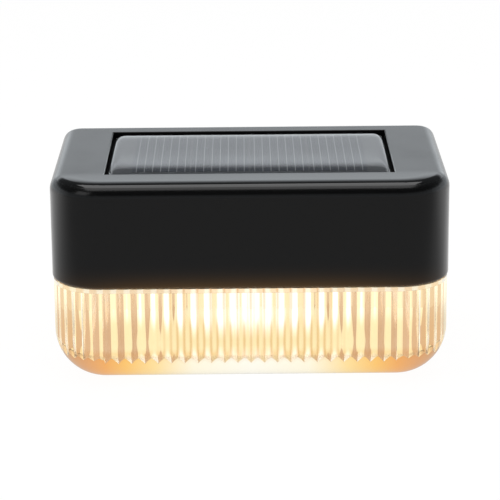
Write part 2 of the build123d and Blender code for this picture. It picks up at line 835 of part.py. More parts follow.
def panel_leads():
    """Two leads from the solar board down to the control board."""
    y, level = lead_hole_y, panel_lead_z
    pieces = []
    for side in (-1, 1):
        x = lead_hole_x + side * 1.5 * lead_r
        pieces.append(lead([(x, y, board_low_z), (x, y, level), (x, board_front_y, level)]))
    return Compound(children=pieces)


def battery_leads():
    """Leads from the battery contacts to the control board."""
    tab_z = can_z + contact_half_h + tab_lead_rise
    pieces = []
    bend_y, end_y = battery_y + battery_lead_run, board_front_y - battery_lead_end_l
    for x, end_x in ((holder_right + lead_r, battery_lead_x), (-holder_left - lead_r, -battery_lead_x)):
        points = [(x, battery_y, tab_z), (x, bend_y, tab_z)]
        points += [(end_x, end_y, low_lead_z), (end_x, board_front_y, low_lead_z)]
        pieces.append(lead(points))
    return Compound(children=pieces)


def led_leads():
    """Leads from the control board down through the tray to the LED board."""
    pieces = []
    for x in (-led_lead_x, led_lead_x):
        points = [(x, board_front_y, low_lead_z), (x, led_board_y, low_lead_z), (x, led_board_y, tray_low_z)]
        pieces.append(lead(points))
    return Compound(children=pieces)


makers = [
    top_housing,
    lens,
    back_plate,
    light_tray,
    button_cap,
    button_seal,
    switch_body,
    switch_plunger,
    control_board,
    control_chip,
    inductor,
    inductor_coil,
    capacitor,
    diode,
    back_screws,
    board_screws,
    tray_screws,
    led_screws,
    led_board,
    leds,
    battery_cell,
    battery_holder,
    battery_contact,
    battery_spring,
    solar_adhesive,
    solar_board,
    solar_cells,
    solar_cover,
    panel_leads,
    battery_leads,
    led_leads,
]

os.makedirs("parts", exist_ok=True)
for maker in makers:
    export_step(maker(), f"parts/{maker.__name__}.step")
export_step(gasket(), "parts/back_gasket.step")
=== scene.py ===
import math

import bpy
from mathutils import Matrix, Vector


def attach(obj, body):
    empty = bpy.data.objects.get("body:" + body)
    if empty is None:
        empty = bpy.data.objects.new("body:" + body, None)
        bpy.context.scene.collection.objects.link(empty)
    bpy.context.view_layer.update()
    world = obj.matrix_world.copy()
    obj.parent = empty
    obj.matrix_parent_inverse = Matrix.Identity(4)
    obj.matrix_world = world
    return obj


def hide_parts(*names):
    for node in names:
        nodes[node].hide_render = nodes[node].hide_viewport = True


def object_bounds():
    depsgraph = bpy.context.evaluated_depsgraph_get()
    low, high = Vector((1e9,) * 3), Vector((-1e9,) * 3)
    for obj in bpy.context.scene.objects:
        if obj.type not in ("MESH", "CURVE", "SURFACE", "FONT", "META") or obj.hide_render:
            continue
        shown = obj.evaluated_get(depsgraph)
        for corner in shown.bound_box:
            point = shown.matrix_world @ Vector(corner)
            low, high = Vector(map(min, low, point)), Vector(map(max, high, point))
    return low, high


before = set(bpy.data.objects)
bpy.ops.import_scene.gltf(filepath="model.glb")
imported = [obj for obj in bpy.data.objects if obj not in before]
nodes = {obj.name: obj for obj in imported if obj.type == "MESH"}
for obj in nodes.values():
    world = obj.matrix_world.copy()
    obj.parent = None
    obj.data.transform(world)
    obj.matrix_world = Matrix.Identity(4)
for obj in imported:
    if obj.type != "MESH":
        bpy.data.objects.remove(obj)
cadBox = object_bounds()
mm = 0.001  # sizes below are in millimetres, angles in degrees, and noise scales count per metre
scene = bpy.context.scene
scene.view_settings.view_transform = "Standard"
print("frame loaded:", len(nodes), "nodes")


# helpers for shader nodes

def newMaterial(name):
    material = bpy.data.materials.new(name)
    material.use_nodes = True
    tree = material.node_tree
    return material, tree, tree.nodes["Principled BSDF"]


def addNode(tree, kind, inputs=None, **settings):
    node = tree.nodes.new(kind)
    for name, value in settings.items():
        setattr(node, name, value)
    for key, value in (inputs or {}).items():
        if isinstance(value, bpy.types.NodeSocket):
            tree.links.new(value, node.inputs[key])
        else:
            node.inputs[key].default_value = value
    return node


def mathNode(tree, operation, a, b=0.0, clamp=False):
    return addNode(tree, "ShaderNodeMath", {0: a, 1: b}, operation=operation, use_clamp=clamp).outputs[0]


def times(tree, *factors):
    product = factors[0]
    for factor in factors[1:]:
        product = mathNode(tree, "MULTIPLY", product, factor)
    return product


def absolute(tree, value):
    return mathNode(tree, "ABSOLUTE", value)


def spread(tree, a, b):
    return mathNode(tree, "SQRT", mathNode(tree, "ADD", times(tree, a, a), times(tree, b, b)))


def wrap(tree, value, high, low=0.0):
    return addNode(tree, "ShaderNodeMath", {0: value, 1: high, 2: low}, operation="WRAP").outputs[0]


def remap(tree, value, low, high, toLow=0.0, toHigh=1.0, smooth=True):
    ends = {0: value, 1: low, 2: high, 3: toLow, 4: toHigh}
    kind = "SMOOTHSTEP" if smooth else "LINEAR"
    return addNode(tree, "ShaderNodeMapRange", ends, interpolation_type=kind).outputs[0]


def fade(tree, value, ends, *levels, smooth=True):
    return remap(tree, value, ends[0] * mm, ends[1] * mm, *levels, smooth=smooth)


def mixColour(tree, share, a, b, blend="MIX"):
    node = addNode(tree, "ShaderNodeMix", data_type="RGBA", blend_type=blend)
    for socket, value in ((node.inputs[0], share), (node.inputs[6], a), (node.inputs[7], b)):
        if isinstance(value, bpy.types.NodeSocket):
            tree.links.new(value, socket)
        else:
            socket.default_value = value if isinstance(value, (float, int)) else (*value, 1.0)[:4]
    return node.outputs[2]


def tinted(tree, share, colour, tint):
    return mixColour(tree, share, colour, mixColour(tree, 1.0, colour, tint, blend="MULTIPLY"))


def mixValue(tree, share, a, b):
    return addNode(tree, "ShaderNodeMix", {0: share, 2: a, 3: b}, data_type="FLOAT").outputs[0]


def noise(tree, spot, scale, detail):
    inputs = {"Vector": spot, "Scale": scale, "Detail": detail}
    return addNode(tree, "ShaderNodeTexNoise", inputs).outputs[0]


def cloudy(tree, cloud, low, high):
    # most of the noise lies between these two levels
    return remap(tree, cloud, 0.3, 0.7, low, high)


def bump(tree, height, strength, distance, normal=None):
    inputs = {"Height": height, "Strength": strength, "Distance": distance}
    if normal is not None:
        inputs["Normal"] = normal
    return addNode(tree, "ShaderNodeBump", inputs).outputs[0]


def place(tree):
    spot = addNode(tree, "ShaderNodeTexCoord").outputs["Object"]
    parts = addNode(tree, "ShaderNodeSeparateXYZ", {0: spot})
    return spot, parts.outputs[0], parts.outputs[1], parts.outputs[2]


def srgb(red, green, blue):
    def linear(v):
        v /= 255
        return v / 12.92 if v <= 0.04045 else ((v + 0.055) / 1.055) ** 2.4
    return (linear(red), linear(green), linear(blue))


def colourRamp(tree, share, stops):
    ramp = addNode(tree, "ShaderNodeValToRGB", {0: share})
    band = ramp.color_ramp
    while len(band.elements) < len(stops):
        band.elements.new(0.5)
    for element, (at, colour) in zip(band.elements, stops):
        element.position = at
        element.color = (*srgb(*colour), 1)
    return ramp.outputs[0]


def lampsThrough(tree, shader):
    # lamp rays pass the clear part straight, so what is behind it is lit
    path = addNode(tree, "ShaderNodeLightPath")
    clear = addNode(tree, "ShaderNodeBsdfTransparent")
    shares = {0: path.outputs["Is Shadow Ray"], 1: shader.outputs[0], 2: clear.outputs[0]}
    mix = addNode(tree, "ShaderNodeMixShader", shares)
    tree.links.new(mix.outputs[0], tree.nodes["Material Output"].inputs["Surface"])


# helpers for meshes

meshRules = {"mergeWithin": 0.002, "smoothAngle": 32, "normalWeight": 80}


def pickOnly(piece):
    bpy.ops.object.select_all(action="DESELECT")
    bpy.context.view_layer.objects.active = piece
    piece.select_set(True)


def mergeDoubles(turnOut=False):
    bpy.ops.object.mode_set(mode="EDIT")
    bpy.ops.mesh.select_all(action="SELECT")
    bpy.ops.mesh.remove_doubles(threshold=meshRules["mergeWithin"] * mm)
    if turnOut:
        bpy.ops.mesh.normals_make_consistent(inside=False)
    bpy.ops.object.mode_set(mode="OBJECT")


def smoothBy(angle):
    bpy.ops.object.shade_smooth_by_angle(angle=math.radians(angle))


def newPiece(name, points, faces):
    mesh = bpy.data.meshes.new(name)
    mesh.from_pydata(points, [], faces)
    piece = bpy.data.objects.new(name, mesh)
    scene.collection.objects.link(piece)
    pickOnly(piece)
    return piece


def smoothCopy(nodeName, name, material):
    # a copy of a CAD node, its doubles merged, its round faces smooth and its flat ones flat
    source = nodes[nodeName]
    piece = source.copy()
    piece.data = source.data.copy()
    piece.name = name
    piece.data.name = name
    for key in list(piece.keys()):
        del piece[key]
    piece.parent = None
    scene.collection.objects.link(piece)
    pickOnly(piece)
    if piece.data.has_custom_normals:
        bpy.ops.mesh.customdata_custom_splitnormals_clear()
    mergeDoubles()
    smoothBy(meshRules["smoothAngle"])
    weighted = piece.modifiers.new("weighted", "WEIGHTED_NORMAL")
    weighted.keep_sharp = True
    weighted.weight = meshRules["normalWeight"]
    bpy.ops.object.modifier_apply(modifier=weighted.name)
    piece.data.materials.clear()
    piece.data.materials.append(material)
    return piece


def finishPiece(piece, body, slotName, *replaced):
    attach(piece, body)
    if replaced:
        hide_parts(*replaced)


def assign(nodeName, material):
    mesh = nodes[nodeName].data
    if not mesh.materials:
        mesh.materials.append(material)
    for k in range(len(mesh.materials)):
        mesh.materials[k] = material


# camera in front of the light and a little above it

cameraView = {
    "distance": 749.6,
    "elevation": 16.08,
    "turn": 0.096,
    "roll": -0.487,
    "lens": 172.3,
    "sensor": 36,
    "clip": (20, 20000),
    "middle": (0, -40, 0),
    "aim": (-0.03, -40, 0.28),
}


def addCamera(view):
    rise, turn = math.radians(view["elevation"]), math.radians(view["turn"])
    away = view["distance"] * math.cos(rise)
    offset = Vector((-away * math.sin(turn), -away * math.cos(turn), view["distance"] * math.sin(rise)))
    spot = (Vector(view["middle"]) + offset) * mm
    bpy.ops.object.camera_add(location=spot)
    camera = bpy.context.object
    look = Vector(view["aim"]) * mm - spot
    camera.rotation_mode = "QUATERNION"
    level = look.to_track_quat("-Z", "Y")
    camera.rotation_quaternion = level @ Matrix.Rotation(math.radians(view["roll"]), 4, "Z").to_quaternion()
    camera.data.lens = view["lens"]
    camera.data.sensor_width = view["sensor"]
    camera.data.clip_start, camera.data.clip_end = (v * mm for v in view["clip"])
    scene.camera = camera


addCamera(cameraView)

# plain studio: white surroundings, soft lamps, pale floor

studio = {
    "white": 1.0,
    "back": 0.96,
    "front": 0.35,
    "backFrom": (-0.4, 0.4),
    # in reflections: from and to above the horizon, level below, level above
    "bands": [(2, 12, 1.16, 0.80), (13.8, 14.9, 1.0, 1.40), (15.4, 25, 1.0, 0.08)],
    "cool": (0.93, 0.985, 1.03),
    "fill": 0.50,
    "floorSize": 3000,
    "floorGap": 0.05,
    "floorColour": (0.9, 0.9, 0.9),
    "floorRoughness": 0.9,
    "floorWhite": 1.03,
    "floorOwnLight": 0.93,
    "floorShine": {"ends": (-160, 60), "front": 0.31, "back": 1.0},
    "topLamp": {"at": (0, -10, 600), "size": (620, 560), "power": 1.45, "aim": (0, -10, 0)},
    "sideLamp": {"at": (-620, -560, 560), "size": (420, 420), "power": 0.5, "aim": (0, -40, 0)},
}


def addWorld(s):
    world = bpy.data.worlds.new("studio")
    scene.world = world
    world.use_nodes = True
    tree = world.node_tree
    path = addNode(tree, "ShaderNodeLightPath")
    spot = addNode(tree, "ShaderNodeTexCoord").outputs["Generated"]
    parts = addNode(tree, "ShaderNodeSeparateXYZ", {0: spot})
    # in reflections it is brightest low down and near 15 degrees, more so behind, and dark above
    around = remap(tree, parts.outputs[1], *s["backFrom"], s["front"], s["back"])
    for start, end, below, above in s["bands"]:
        low, high = (math.sin(math.radians(v)) for v in (start, end))
        around = times(tree, around, remap(tree, parts.outputs[2], low, high, below, above))
    around = mixColour(tree, 1.0, around, s["cool"], blend="MULTIPLY")
    plain = mathNode(tree, "MAXIMUM", path.outputs["Is Camera Ray"], path.outputs["Is Transmission Ray"])
    plain = mathNode(tree, "MAXIMUM", plain, path.outputs["Transmission Depth"], clamp=True)
    soft = mixColour(tree, path.outputs["Is Glossy Ray"], (s["fill"],) * 3, around)
    colour = mixColour(tree, plain, soft, (s["white"],) * 3)
    tree.links.new(colour, tree.nodes["Background"].inputs["Color"])


def addLamp(name, lamp):
    spot = Vector(lamp["at"]) * mm
    bpy.ops.object.light_add(type="AREA", location=spot)
    light = bpy.context.object
    light.name = name
    light.data.shape = "RECTANGLE"
    light.data.size, light.data.size_y = (v * mm for v in lamp["size"])
    light.data.energy = lamp["power"]
    light.rotation_euler = (Vector(lamp["aim"]) * mm - spot).to_track_quat("-Z", "Y").to_euler()


def addFloor(s):
    low = cadBox[0].z - s["floorGap"] * mm
    bpy.ops.mesh.primitive_plane_add(size=s["floorSize"] * mm, location=(0, 0, low))
    floor = bpy.context.object
    floor.name = "floor"
    material, tree, shader = newMaterial("floorPaper")
    shader.inputs["Base Color"].default_value = (*s["floorColour"], 1)
    shader.inputs["Roughness"].default_value = s["floorRoughness"]
    shader.inputs["Specular IOR Level"].default_value = 0.0
    path = addNode(tree, "ShaderNodeLightPath")
    glossy = path.outputs["Is Glossy Ray"]
    seen = mathNode(tree, "MAXIMUM", path.outputs["Is Camera Ray"], path.outputs["Is Transmission Ray"])
    seen = mathNode(tree, "MAXIMUM", seen, glossy)
    share = times(tree, seen, s["floorOwnLight"])
    y = place(tree)[2]
    shine = s["floorShine"]
    level = fade(tree, y, shine["ends"], shine["front"], shine["back"])
    level = mixValue(tree, glossy, s["floorWhite"], level)
    own = addNode(tree, "ShaderNodeEmission", {"Color": (1, 1, 1, 1), "Strength": level})
    mix = addNode(tree, "ShaderNodeMixShader", {0: share, 1: shader.outputs[0], 2: own.outputs[0]})
    tree.links.new(mix.outputs[0], tree.nodes["Material Output"].inputs["Surface"])
    floor.data.materials.append(material)


addWorld(studio)
addLamp("topLamp", studio["topLamp"])
addLamp("sideLamp", studio["sideLamp"])
addFloor(studio)
print("studio ready")

# black housing

housingLook = {
    "colour": (0.0028, 0.0028, 0.0030),
    "roughness": (0.13, 0.20),
    "cloudScale": 60.0,
    "grainScale": 2200,
    "grainDepth": 0.04,
    "grainHeight": 0.02,
    "gloss": 0.5,
    "deckAbove": 30.6,
    "front": {"ends": (-62.0, -68.0), "gloss": 0.95, "roughness": 0.09},
    "fillet": {"top": (31.2, 30.4), "low": (25.0, 27.0), "roughness": 0.22},
    "roll": {"corner": (44.0, -64.0), "start": 8.0, "curve": 11.0},  # the curve counts per metre
    "recess": {"half": (43.8, 27.9), "middle": -37.1, "below": 31.1, "roughness": 0.75, "gloss": 0.08},
    # painted glow from the lens on the lower edge
    "paintedLensGlow": {
        "colour": (0.075, 0.036, 0.006),
        "height": (9.0, -0.5),
        "power": 3.2,
        "half": 48.0,
        "reach": 1.6,
        "sides": 0.25,  # share left at the sides
    },
}


def housingMaterial(look):
    material, tree, shader = newMaterial("satinBlackPlastic")
    spot, x, y, z = place(tree)
    side = absolute(tree, x)
    shader.inputs["Base Color"].default_value = (*look["colour"], 1)
    rough = cloudy(tree, noise(tree, spot, look["cloudScale"], 4.0), *look["roughness"])
    fillet = look["fillet"]
    rounded = times(tree, fade(tree, z, fillet["top"]), fade(tree, z, fillet["low"]))
    rough = mixValue(tree, rounded, rough, fillet["roughness"])

    # the recess walls are left matt from the mould
    recess = look["recess"]
    fromMiddle = absolute(tree, mathNode(tree, "SUBTRACT", y, recess["middle"] * mm))
    matt = times(
        tree,
        mathNode(tree, "LESS_THAN", side, recess["half"][0] * mm),
        mathNode(tree, "LESS_THAN", fromMiddle, recess["half"][1] * mm),
        mathNode(tree, "LESS_THAN", z, recess["below"] * mm),
    )
    rough = mixValue(tree, matt, rough, recess["roughness"])

    # the strip in front of the panel is polished most
    front = look["front"]
    onDeck = mathNode(tree, "GREATER_THAN", z, look["deckAbove"] * mm)
    strip = times(tree, fade(tree, y, front["ends"]), onDeck)
    gloss = mixValue(tree, strip, look["gloss"], front["gloss"])
    tree.links.new(mixValue(tree, matt, gloss, recess["gloss"]), shader.inputs["Specular IOR Level"])
    tree.links.new(mixValue(tree, strip, rough, front["roughness"]), shader.inputs["Roughness"])

    # the top sinks a little before it rolls over the front edge
    roll = look["roll"]
    aside = mathNode(tree, "MAXIMUM", mathNode(tree, "SUBTRACT", side, roll["corner"][0] * mm), 0.0)
    ahead = mathNode(tree, "MAXIMUM", mathNode(tree, "SUBTRACT", roll["corner"][1] * mm, y), 0.0)
    past = mathNode(tree, "SUBTRACT", spread(tree, aside, ahead), roll["start"] * mm)
    past = mathNode(tree, "MAXIMUM", past, 0.0)
    sunk = times(tree, past, past, -roll["curve"], onDeck)
    rolled = bump(tree, sunk, 1.0, 1.0)
    grain = noise(tree, spot, look["grainScale"], 2.0)
    grained = bump(tree, grain, look["grainDepth"], look["grainHeight"] * mm, rolled)
    tree.links.new(grained, shader.inputs["Normal"])

    # painted light from the lens warms the lower edge, as emission
    paintedLensGlow = look["paintedLensGlow"]
    near = fade(tree, z, paintedLensGlow["height"], 0, 1, smooth=False)
    near = mathNode(tree, "POWER", near, paintedLensGlow["power"])
    across = times(tree, x, 1 / (paintedLensGlow["half"] * mm))
    across = remap(tree, times(tree, across, across), 0.0, paintedLensGlow["reach"], 1.0, paintedLensGlow["sides"])
    tree.links.new(times(tree, near, across), shader.inputs["Emission Strength"])
    shader.inputs["Emission Color"].default_value = (*paintedLensGlow["colour"], 1)
    return material


housing = smoothCopy("top_housing", "housingShell", housingMaterial(housingLook))
finishPiece(housing, "light", "housing_black", "top_housing")
print("housing ready")

# fluted lens: shallow ribs outside, deeper prisms inside, both running out on the rounded edge

lensBowl = {
    "shape": {
        "bodyHalf": 60.0,
        "bodyDepth": 80.0,
        "cornerRadius": 16.0,
        "inset": 0.35,
        "top": -0.25,
        "ledge": -1.75,  # the wall is thinner above this
        "rimInset": 1.35,
        "roundFrom": -16.35,
        "roundOuter": 15.0,
        "innerInset": 1.55,
        "roundInner": 13.8,
        "crestEnd": -22.3,  # above the grooves' end, which leaves a scalloped edge
        "grooveEnd": -24.3,
        "endPower": 1.3,
        "endStep": 0.12,
        "endTurn": 0.02,
        "frontRibs": 22,
        "cornerRibs": 6,
        "cornerDepth": 0.58,  # share of the full depth
        "sideRibs": 14,
        "crown": 0.10,
        "groove": 0.28,
        "grooveShare": 0.72,
        "groovePower": 1.5,
        "runOut": 6.0,
        "tipFade": 0.5,
        "rear": -2.4,
        "rearSteps": (0.4, 2.0),
        "steps": 12,  # columns to a rib
        "wallRows": 5,
        "endRows": 5,
        "edgeRows": 14,
        "smoothAngle": 30,
    },
    "glass": {
        "ior": 1.49,
        "tint": (0.98, 0.95, 0.91),
        # painted warm light out to the sides and corners, duller lower down
        "lowFrom": (-2.0, -17.0),
        "sideFrom": (46.0, 54.0),
        "sideHigh": (0.95, 0.80, 0.60),
        "sideLow": (0.86, 0.70, 0.54),
        "cornerFrom": (-54.0, -62.0),
        "cornerHigh": (1.0, 0.97, 0.86),
        "cornerLow": (0.98, 0.91, 0.74),
        # painted shade lines along the grooves and crests
        "paintedLineShade": (0.70, 0.49, 0.32),
        "lineHalf": (21.0, 31.0),
        "grooveFrom": 0.62,
        "crestTo": 0.38,
        "crestBelow": (-8.0, -12.5),
        # painted shade where the ribs end
        "paintedTipShade": (0.88, 0.70, 0.50),
        "tipFrom": (-18.6, -21.2),
        "endFrom": (-20.4, -22.0),
        "endRoughness": 0.22,
        # painted glow of the inner wall
        "faintGlow": (0.60, 0.36, 0.20),
        "faintGlowStrength": 0.02,
        "slantGlow": (1.0, 0.94, 0.70),
        "slantGlowStrength": 0.15,
        "slantGlowFrom": (19.0, 29.0),
        "slantGlowTo": (56.0, 64.0),
        "slantGlowBelow": (-6.0, -15.0),
        "slantGlowLeast": 0.25,
        "cornerGlow": 0.14,
        "cornerGlowX": (43.0, 46.0),
        "cornerGlowY": (-66.0, -70.0),
    },
    # painted light on the lens's floor
    "floor": {
        "own": (0.02, 0.015, 0.01),
        "pool": srgb(255, 255, 249),
        "plain": srgb(254, 236, 184),
        "sides": srgb(213, 182, 143),
        "sidesFrom": (40.0, 52.0),
        "rear": -8.0,
        "poolSize": (32.0, 30.0),
        "poolEdge": 0.30,
        "poolStrength": 1.45,
        "rearGlow": srgb(255, 243, 200),
        "rearFrom": (-9.0, -22.0),
        "strength": 1.08,
    },
    "band": {
        "own": (0.02, 0.015, 0.01),
        # painted glow of the rounded edge, from the middle outwards
        "glow": [
            (0.0, (255, 253, 241)),
            (0.30, (255, 249, 226)),
            (0.50, (254, 224, 156)),
            (0.65, (250, 198, 110)),
            (0.76, (240, 173, 98)),
            (0.86, (222, 164, 112)),
            (1.0, (204, 166, 128)),
        ],
        "half": 58.0,
        "sideGlow": srgb(213, 174, 133),
        "sideFrom": (-64.0, -55.0),
        "strength": 1.05,
    },
}


def held(value):
    return min(max(value, 0.0), 1.0)


def lensColumns(s):
    # one entry per column: foot point, outward direction, place across its rib, and how much rib it has
    footX, footY = s["bodyHalf"] - s["cornerRadius"], s["cornerRadius"] - s["bodyDepth"]
    pitch = 2 * footX / s["frontRibs"]
    marks = [(-footX, footY + k * pitch, 180.0) for k in range(s["sideRibs"], 0, -1)]
    marks += [(-footX, footY, 180 + 90 * k / s["cornerRibs"]) for k in range(s["cornerRibs"])]
    marks += [(-footX + k * pitch, footY, 270.0) for k in range(s["frontRibs"])]
    marks += [(footX, footY, 270 + 90 * k / s["cornerRibs"]) for k in range(s["cornerRibs"])]
    marks += [(footX, footY + k * pitch, 360.0) for k in range(s["sideRibs"] + 1)]
    columns = []
    for a, b in zip(marks, marks[1:]):
        deep = s["cornerDepth"] if a[2] != b[2] else 1.0  # shallower round the corners
        for k in range(s["steps"]):
            share = k / s["steps"]
            x, y, turn = (p + (q - p) * share for p, q in zip(a, b))
            columns.append((x, y, turn, deep * (2 * share - 1), 1.0))
    columns.append((*marks[-1], 1.0, 1.0))
    smooth = [marks[-1][1] + step for step in s["rearSteps"]] + [s["rear"]]
    columns += [(footX, y, 360.0, 0.0, 0.0) for y in smooth]
    return [(-footX, y, 180.0, 0.0, 0.0) for y in reversed(smooth)] + columns


def lensMesh(s):
    columns = lensColumns(s)
    points, faces, kinds = [], [], []

    def addRow(spots):
        first = len(points)
        points.extend(spots)
        return list(range(first, first + len(spots)))

    def skin(rowA, rowB, kind):
        for k in range(len(rowA) - 1):
            faces.append((rowA[k], rowB[k], rowB[k + 1], rowA[k + 1]))
            kinds.append(kind)

    def spotOn(column, inset, z):
        x, y, turn = column[:3]
        reach = s["cornerRadius"] - inset
        turn = math.radians(turn)
        return Vector((x + reach * math.cos(turn), y + reach * math.sin(turn), z)) * mm

    def insetAt(base, radius, z):
        drop = min(max(s["roundFrom"] - z, 0.0), radius)
        return base + radius - math.sqrt(max(radius**2 - drop**2, 0.0))

    def innerInsetAt(z):
        return insetAt(s["innerInset"], s["roundInner"], z)

    def grooveDepth(t):
        narrow = max(0.0, (abs(t) - s["grooveShare"]) / (1 - s["grooveShare"]))
        return s["crown"] * t * t + s["groove"] * narrow ** s["groovePower"]

    def levelsOf(column, radius):
        # down the wall, to the rib's end, then round to the bottom
        fromZ = s["roundFrom"]
        end = s["crestEnd"] + (s["grooveEnd"] - s["crestEnd"]) * abs(column[3]) ** s["endPower"]
        stop = math.asin(min(1.0, (fromZ - end) / radius))
        levels = [s["ledge"] + (fromZ - s["ledge"]) * k / s["wallRows"] for k in range(s["wallRows"] + 1)]
        levels += [fromZ - radius * math.sin(stop * k / s["endRows"]) for k in range(1, s["endRows"])]
        levels += [end + s["endStep"], end, end - s["endStep"]]
        past = stop + s["endTurn"]
        for k in range(1, s["edgeRows"] + 1):
            levels.append(fromZ - radius * math.sin(past + (math.pi / 2 - past) * k / s["edgeRows"]))
        return levels, end

    outer, across, ribbed = [], [], []
    outerLevels = [levelsOf(column, s["roundOuter"]) for column in columns]
    for row in range(-1, len(outerLevels[0][0])):
        spots = []
        for column, (levels, end) in zip(columns, outerLevels):
            z = s["top"] if row < 0 else levels[row]
            ribs = column[4] * held((z - end) / s["runOut"])
            inset = insetAt(s["inset"], s["roundOuter"], z) + ribs * grooveDepth(column[3])
            spots.append(spotOn(column, inset, z))
            # how near each outer point lies to a groove, fading out where the ribs end
            across.append(abs(column[3]) * column[4] * held((z - end) / s["runOut"] + 0.5))
            ribbed.append(column[4] * held((z - end) / s["tipFade"] + 0.5))
        outer.append(addRow(spots))
    inner = []
    innerLevels = [levelsOf(column, s["roundInner"]) for column in columns]
    plain = innerInsetAt(s["crestEnd"])
    for row in range(len(innerLevels[0][0])):
        spots = []
        for column, (levels, end) in zip(columns, innerLevels):
            z = levels[row]
            prism = plain + (innerInsetAt(end) - plain) * column[4]
            spots.append(spotOn(column, prism if z >= end else innerInsetAt(z), z))
        inner.append(addRow(spots))
    rimTop = addRow([spotOn(column, s["rimInset"], s["top"]) for column in columns])
    rimLow = addRow([spotOn(column, s["rimInset"], s["ledge"]) for column in columns])

    # kinds: 0 outer glass, 1 inner glass, 2 floor, 3 rounded band
    for a, b in zip(outer, outer[1:]):
        skin(a, b, 0)
    wall = s["wallRows"] + s["endRows"] + 1
    for row, (a, b) in enumerate(zip(inner[1:], inner)):
        skin(a, b, 1 if row < wall else 3)
    skin(rimTop, outer[0], 0)
    skin(rimLow, rimTop, 0)
    skin(inner[0], rimLow, 1)
    faces.append(tuple(outer[-1]))
    kinds.append(0)
    faces.append(tuple(reversed(inner[-1])))
    kinds.append(2)
    # rear edge, a U-shaped strip between the outer and inner skins
    left, right = [row[0] for row in outer], [row[-1] for row in outer]
    leftIn, rightIn = [row[0] for row in inner], [row[-1] for row in inner]
    loop = left + right[::-1] + [rimTop[-1], rimLow[-1]] + rightIn + leftIn[::-1] + [rimLow[0], rimTop[0]]
    faces.append(tuple(loop[::-1]))
    kinds.append(0)
    return points, faces, kinds, {"acrossRib": across, "ribbed": ribbed}




def lensTintAndPaintedLight(tree, look, x, y, z):
    # clear in the middle, warmer out to the sides: painted warm light there, duller lower down
    low = fade(tree, z, look["lowFrom"])
    side = mixColour(tree, low, look["sideHigh"], look["sideLow"])
    corner = mixColour(tree, low, look["cornerHigh"], look["cornerLow"])
    side = mixColour(tree, fade(tree, y, look["cornerFrom"]), side, corner)
    return mixColour(tree, fade(tree, absolute(tree, x), look["sideFrom"]), look["tint"], side)


def clearMaterial(name, look):
    material, tree, shader = newMaterial(name)
    shader.inputs["Transmission Weight"].default_value = 1.0
    shader.inputs["IOR"].default_value = look["ior"]
    shader.inputs["Roughness"].default_value = 0.0
    return material, tree, shader


def outerGlass(look):
    material, tree, shader = clearMaterial("clearLens", look)
    x, y, z = place(tree)[1:]
    tint = lensTintAndPaintedLight(tree, look, x, y, z)
    # painted shade: a soft dark line along each groove, and lower down one along each crest too
    across = addNode(tree, "ShaderNodeAttribute", attribute_name="acrossRib").outputs["Fac"]
    ribbed = addNode(tree, "ShaderNodeAttribute", attribute_name="ribbed").outputs["Fac"]
    groove = remap(tree, across, look["grooveFrom"], 1.0)
    crest = remap(tree, across, look["crestTo"], 0.0)
    crest = times(tree, crest, fade(tree, z, look["crestBelow"]), ribbed)
    line = mathNode(tree, "MAXIMUM", groove, crest)
    line = times(tree, line, fade(tree, absolute(tree, x), look["lineHalf"], 1, 0))
    tint = tinted(tree, line, tint, look["paintedLineShade"])
    # painted shade: the ribs darken where they end
    tint = tinted(tree, times(tree, ribbed, fade(tree, z, look["tipFrom"])), tint, look["paintedTipShade"])
    tree.links.new(tint, shader.inputs["Base Color"])
    lampsThrough(tree, shader)
    return material


def innerGlass(look):
    material, tree, shader = clearMaterial("litLensInside", look)
    x, y, z = place(tree)[1:]
    tree.links.new(lensTintAndPaintedLight(tree, look, x, y, z), shader.inputs["Base Color"])
    # painted light: the wall glows a little where the light passes it aslant, faintly elsewhere and more at
    # the front corners
    side = absolute(tree, x)
    slantGlow = times(
        tree,
        fade(tree, side, look["slantGlowFrom"]),
        fade(tree, side, look["slantGlowTo"], 1, 0),
        fade(tree, z, look["slantGlowBelow"], 1.0, look["slantGlowLeast"]),
    )
    tree.links.new(mixColour(tree, slantGlow, look["faintGlow"], look["slantGlow"]), shader.inputs["Emission Color"])
    glow = mixValue(tree, slantGlow, look["faintGlowStrength"], look["slantGlowStrength"])
    corner = times(tree, fade(tree, side, look["cornerGlowX"]), fade(tree, y, look["cornerGlowY"]))
    tree.links.new(mixValue(tree, corner, glow, look["cornerGlow"]), shader.inputs["Emission Strength"])
    # the prisms' ends are soft
    ends = fade(tree, z, look["endFrom"], 0.0, look["endRoughness"])
    tree.links.new(ends, shader.inputs["Roughness"])
    lampsThrough(tree, shader)
    return material


def litMaterial(name, look):
    material, tree, shader = newMaterial(name)
    shader.inputs["Base Color"].default_value = (*look["own"], 1)
    shader.inputs["Specular IOR Level"].default_value = 0.0
    return material, tree, shader


def lensFloor(look):
    material, tree, shader = litMaterial("litLensFloor", look)
    x, y = place(tree)[1:3]
    # painted light: a white pool under the lamps, warm around it and dim at the sides
    across, along = look["poolSize"]
    offX = mathNode(tree, "DIVIDE", x, across * mm)
    offY = mathNode(tree, "DIVIDE", mathNode(tree, "SUBTRACT", y, look["rear"] * mm), along * mm)
    away = remap(tree, spread(tree, offX, offY), look["poolEdge"], 1.0)
    warm = mixColour(tree, fade(tree, y, look["rearFrom"]), look["rearGlow"], look["plain"])
    colour = mixColour(tree, away, look["pool"], warm)
    colour = mixColour(tree, fade(tree, absolute(tree, x), look["sidesFrom"]), colour, look["sides"])
    tree.links.new(colour, shader.inputs["Emission Color"])
    strength = mixValue(tree, away, look["poolStrength"], look["strength"])
    tree.links.new(strength, shader.inputs["Emission Strength"])
    return material


def lensBand(look):
    material, tree, shader = litMaterial("litLensBand", look)
    x, y = place(tree)[1:3]
    out = mathNode(tree, "MULTIPLY", absolute(tree, x), 1 / (look["half"] * mm), clamp=True)
    glow = colourRamp(tree, out, look["glow"])
    glow = mixColour(tree, fade(tree, y, look["sideFrom"]), glow, look["sideGlow"])
    tree.links.new(glow, shader.inputs["Emission Color"])
    shader.inputs["Emission Strength"].default_value = look["strength"]
    return material


